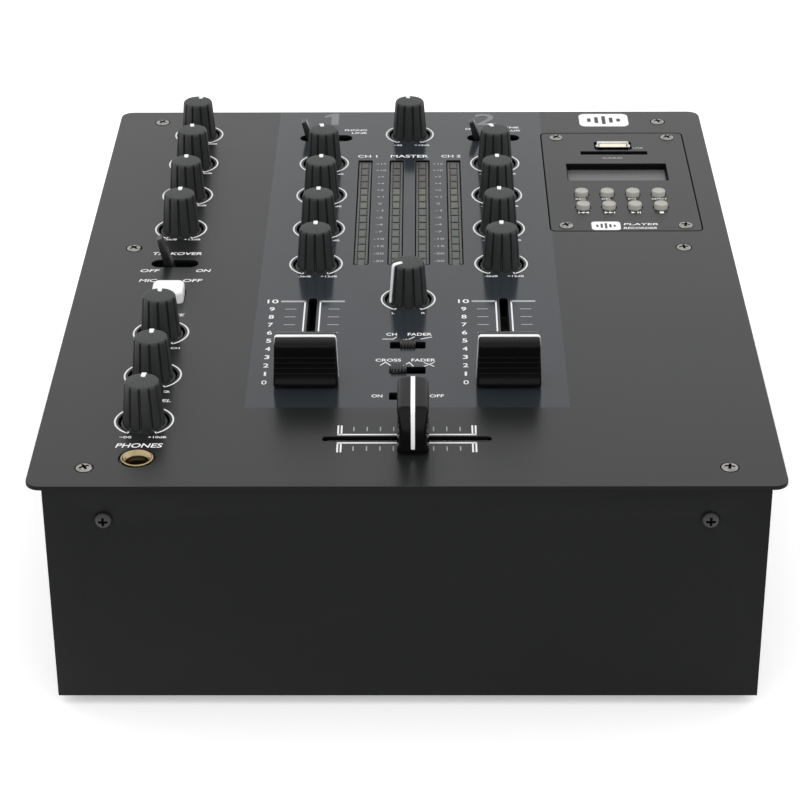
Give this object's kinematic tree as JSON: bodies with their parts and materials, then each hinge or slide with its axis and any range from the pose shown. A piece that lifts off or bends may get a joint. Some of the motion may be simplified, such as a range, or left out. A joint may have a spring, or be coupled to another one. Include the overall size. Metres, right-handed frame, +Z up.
{
  "type": "dj mixer",
  "caption": "Compact DJ mixer: two channel faders, crossfader, rotary level and tone knobs, level meters and a built-in player module in a flat steel case.",
  "frame": {"origin": "on the surface that the feet stand on, under the middle of the outline, sockets at the rear included", "axes": "+Z up, +Y from the front edge towards the rear sockets, +X to the user's right"},
  "size_m": [0.254, 0.3244, 0.1076],
  "materials": {
    "plate_paint": "satin powder coat, dark grey",
    "print_panel": "screen-printed lighter grey field",
    "print_white": "white screen-printed marks",
    "case_paint": "fine-textured black powder coat",
    "player_paint": "satin dark grey",
    "knob_rubber": "matte soft-touch, fluted",
    "cap_plastic": "glossy black with a white line",
    "lever_plastic": "satin black",
    "switch_plastic": "satin black, ribbed",
    "grey_plastic": "light warm grey, matte",
    "white_plastic": "white, translucent",
    "meter_lens": "smoked translucent bars",
    "display_lens": "grey liquid-crystal panel",
    "screw_steel": "plated steel",
    "screw_black": "black oxide",
    "fader_steel": "plated sheet steel",
    "jack_brass": "polished brass",
    "circuit_board": "green solder mask",
    "transformer_core": "varnished laminations",
    "socket_plastic": "black moulded plastic",
    "foot_rubber": "black rubber"
  },
  "bodies": {
    "root": {"top_plate": "plate_paint", "case_tray": "case_paint", "foot_front_left": "foot_rubber", "foot_front_right": "foot_rubber", "foot_rear_left": "foot_rubber", "foot_rear_right": "foot_rubber", "plate_screw_front_left": "screw_steel", "plate_screw_middle_left": "screw_steel", "plate_screw_rear_left": "screw_steel", "plate_screw_front_right": "screw_steel", "plate_screw_middle_right": "screw_steel", "plate_screw_rear_right": "screw_steel", "control_board": "circuit_board", "fader_body_1": "fader_steel", "fader_body_2": "fader_steel", "crossfader_body": "fader_steel", "meter_block": "meter_lens", "phones_jack": "jack_brass", "player_plate": "player_paint", "player_board": "circuit_board", "power_supply": "transformer_core", "rca_block": "socket_plastic", "mic_socket": "socket_plastic", "power_inlet": "socket_plastic"},
    "mic_level_knob": {"mic_level_knob": "knob_rubber"},
    "mic_high_knob": {"mic_high_knob": "knob_rubber"},
    "mic_mid_knob": {"mic_mid_knob": "knob_rubber"},
    "mic_low_knob": {"mic_low_knob": "knob_rubber"},
    "cue_mix_knob": {"cue_mix_knob": "knob_rubber"},
    "cue_balance_knob": {"cue_balance_knob": "knob_rubber"},
    "phones_level_knob": {"phones_level_knob": "knob_rubber"},
    "master_knob": {"master_knob": "knob_rubber"},
    "balance_knob": {"balance_knob": "knob_rubber"},
    "low_knob_1": {"low_knob_1": "knob_rubber"},
    "mid_knob_1": {"mid_knob_1": "knob_rubber"},
    "high_knob_1": {"high_knob_1": "knob_rubber"},
    "gain_knob_1": {"gain_knob_1": "knob_rubber"},
    "low_knob_2": {"low_knob_2": "knob_rubber"},
    "mid_knob_2": {"mid_knob_2": "knob_rubber"},
    "high_knob_2": {"high_knob_2": "knob_rubber"},
    "gain_knob_2": {"gain_knob_2": "knob_rubber"},
    "talkover_lever": {"talkover_lever": "lever_plastic"},
    "source_lever_1": {"source_lever_1": "lever_plastic"},
    "source_lever_2": {"source_lever_2": "lever_plastic"},
    "fader_cap_1": {"fader_cap_1": "cap_plastic"},
    "fader_cap_2": {"fader_cap_2": "cap_plastic"},
    "crossfader_cap": {"crossfader_cap": "cap_plastic"},
    "fader_curve_switch": {"fader_curve_switch": "switch_plastic"},
    "crossfader_curve_switch": {"crossfader_curve_switch": "switch_plastic"},
    "crossfader_switch": {"crossfader_switch": "switch_plastic"},
    "mic_button": {"mic_button": "white_plastic"},
    "record_button": {"record_button": "grey_plastic"},
    "delete_button": {"delete_button": "grey_plastic"},
    "equaliser_button": {"equaliser_button": "grey_plastic"},
    "repeat_button": {"repeat_button": "grey_plastic"},
    "previous_button": {"previous_button": "grey_plastic"},
    "next_button": {"next_button": "grey_plastic"},
    "play_button": {"play_button": "grey_plastic"},
    "stop_button": {"stop_button": "grey_plastic"},
    "power_rocker": {"power_rocker": "switch_plastic"}
  },
  "joints": [
    {"name": "mic_level_turn", "type": "hinge", "parent": "root", "child": "mic_level_knob", "pos_m": [-0.0912, 0.13435, 0.0895], "axis": [0, 0, 1], "range_deg": [-132, 168]},
    {"name": "mic_high_turn", "type": "hinge", "parent": "root", "child": "mic_high_knob", "pos_m": [-0.0912, 0.10325, 0.0895], "axis": [0, 0, 1], "range_deg": [-154, 146]},
    {"name": "mic_mid_turn", "type": "hinge", "parent": "root", "child": "mic_mid_knob", "pos_m": [-0.0912, 0.07095, 0.0895], "axis": [0, 0, 1], "range_deg": [-152, 148]},
    {"name": "mic_low_turn", "type": "hinge", "parent": "root", "child": "mic_low_knob", "pos_m": [-0.0912, 0.03865, 0.0895], "axis": [0, 0, 1], "range_deg": [-150, 150]},
    {"name": "cue_mix_turn", "type": "hinge", "parent": "root", "child": "cue_mix_knob", "pos_m": [-0.0912, -0.05155, 0.0895], "axis": [0, 0, 1], "range_deg": [-150, 150]},
    {"name": "cue_balance_turn", "type": "hinge", "parent": "root", "child": "cue_balance_knob", "pos_m": [-0.0912, -0.08455, 0.0895], "axis": [0, 0, 1], "range_deg": [-150, 150]},
    {"name": "phones_level_turn", "type": "hinge", "parent": "root", "child": "phones_level_knob", "pos_m": [-0.0912, -0.11755, 0.0895], "axis": [0, 0, 1], "range_deg": [-146, 154]},
    {"name": "master_turn", "type": "hinge", "parent": "root", "child": "master_knob", "pos_m": [0, 0.13435, 0.0895], "axis": [0, 0, 1], "range_deg": [-162, 138]},
    {"name": "balance_turn", "type": "hinge", "parent": "root", "child": "balance_knob", "pos_m": [0, -0.02415, 0.0895], "axis": [0, 0, 1], "range_deg": [-266, 34]},
    {"name": "low_1_turn", "type": "hinge", "parent": "root", "child": "low_knob_1", "pos_m": [-0.036, 0.00635, 0.0895], "axis": [0, 0, 1], "range_deg": [-150, 150]},
    {"name": "mid_1_turn", "type": "hinge", "parent": "root", "child": "mid_knob_1", "pos_m": [-0.036, 0.03865, 0.0895], "axis": [0, 0, 1], "range_deg": [-150, 150]},
    {"name": "high_1_turn", "type": "hinge", "parent": "root", "child": "high_knob_1", "pos_m": [-0.036, 0.07095, 0.0895], "axis": [0, 0, 1], "range_deg": [-150, 150]},
    {"name": "gain_1_turn", "type": "hinge", "parent": "root", "child": "gain_knob_1", "pos_m": [-0.036, 0.10325, 0.0895], "axis": [0, 0, 1], "range_deg": [-162, 138]},
    {"name": "low_2_turn", "type": "hinge", "parent": "root", "child": "low_knob_2", "pos_m": [0.036, 0.00635, 0.0895], "axis": [0, 0, 1], "range_deg": [-150, 150]},
    {"name": "mid_2_turn", "type": "hinge", "parent": "root", "child": "mid_knob_2", "pos_m": [0.036, 0.03865, 0.0895], "axis": [0, 0, 1], "range_deg": [-150, 150]},
    {"name": "high_2_turn", "type": "hinge", "parent": "root", "child": "high_knob_2", "pos_m": [0.036, 0.07095, 0.0895], "axis": [0, 0, 1], "range_deg": [-150, 150]},
    {"name": "gain_2_turn", "type": "hinge", "parent": "root", "child": "gain_knob_2", "pos_m": [0.036, 0.10325, 0.0895], "axis": [0, 0, 1], "range_deg": [-174, 126]},
    {"name": "talkover_tilt", "type": "hinge", "parent": "root", "child": "talkover_lever", "pos_m": [-0.091, 0.00695, 0.0805], "axis": [0, 1, 0], "range_deg": [0, 30]},
    {"name": "source_tilt_1", "type": "hinge", "parent": "root", "child": "source_lever_1", "pos_m": [-0.036, 0.13045, 0.0685], "axis": [0, 1, 0], "range_deg": [0, 36]},
    {"name": "source_tilt_2", "type": "hinge", "parent": "root", "child": "source_lever_2", "pos_m": [0.036, 0.13045, 0.0685], "axis": [0, 1, 0], "range_deg": [0, 36]},
    {"name": "fader_slide_1", "type": "slide", "parent": "root", "child": "fader_cap_1", "axis": [0, 1, 0], "range_m": [0, 0.064]},
    {"name": "fader_slide_2", "type": "slide", "parent": "root", "child": "fader_cap_2", "axis": [0, 1, 0], "range_m": [0, 0.064]},
    {"name": "crossfader_slide", "type": "slide", "parent": "root", "child": "crossfader_cap", "axis": [1, 0, 0], "range_m": [-0.0246, 0.0204]},
    {"name": "fader_curve_switch_slide", "type": "slide", "parent": "root", "child": "fader_curve_switch", "axis": [1, 0, 0], "range_m": [-0.0032, 0.0032]},
    {"name": "crossfader_curve_switch_slide", "type": "slide", "parent": "root", "child": "crossfader_curve_switch", "axis": [1, 0, 0], "range_m": [0, 0.0064]},
    {"name": "crossfader_switch_slide", "type": "slide", "parent": "root", "child": "crossfader_switch", "axis": [1, 0, 0], "range_m": [-0.0064, 0]},
    {"name": "mic_button_press", "type": "slide", "parent": "root", "child": "mic_button", "axis": [0, 0, -1], "range_m": [0, 0.002], "stiffness_N_per_m": 250},
    {"name": "record_button_press", "type": "slide", "parent": "root", "child": "record_button", "axis": [0, 0, -1], "range_m": [0, 0.001], "stiffness_N_per_m": 200},
    {"name": "delete_button_press", "type": "slide", "parent": "root", "child": "delete_button", "axis": [0, 0, -1], "range_m": [0, 0.001], "stiffness_N_per_m": 200},
    {"name": "equaliser_button_press", "type": "slide", "parent": "root", "child": "equaliser_button", "axis": [0, 0, -1], "range_m": [0, 0.001], "stiffness_N_per_m": 200},
    {"name": "repeat_button_press", "type": "slide", "parent": "root", "child": "repeat_button", "axis": [0, 0, -1], "range_m": [0, 0.001], "stiffness_N_per_m": 200},
    {"name": "previous_button_press", "type": "slide", "parent": "root", "child": "previous_button", "axis": [0, 0, -1], "range_m": [0, 0.001], "stiffness_N_per_m": 200},
    {"name": "next_button_press", "type": "slide", "parent": "root", "child": "next_button", "axis": [0, 0, -1], "range_m": [0, 0.001], "stiffness_N_per_m": 200},
    {"name": "play_button_press", "type": "slide", "parent": "root", "child": "play_button", "axis": [0, 0, -1], "range_m": [0, 0.001], "stiffness_N_per_m": 200},
    {"name": "stop_button_press", "type": "slide", "parent": "root", "child": "stop_button", "axis": [0, 0, -1], "range_m": [0, 0.001], "stiffness_N_per_m": 200},
    {"name": "power_rocker_tilt", "type": "hinge", "parent": "root", "child": "power_rocker", "pos_m": [0.084, 0.15565, 0.057], "axis": [1, 0, 0], "range_deg": [-16, 0]}
  ]
}
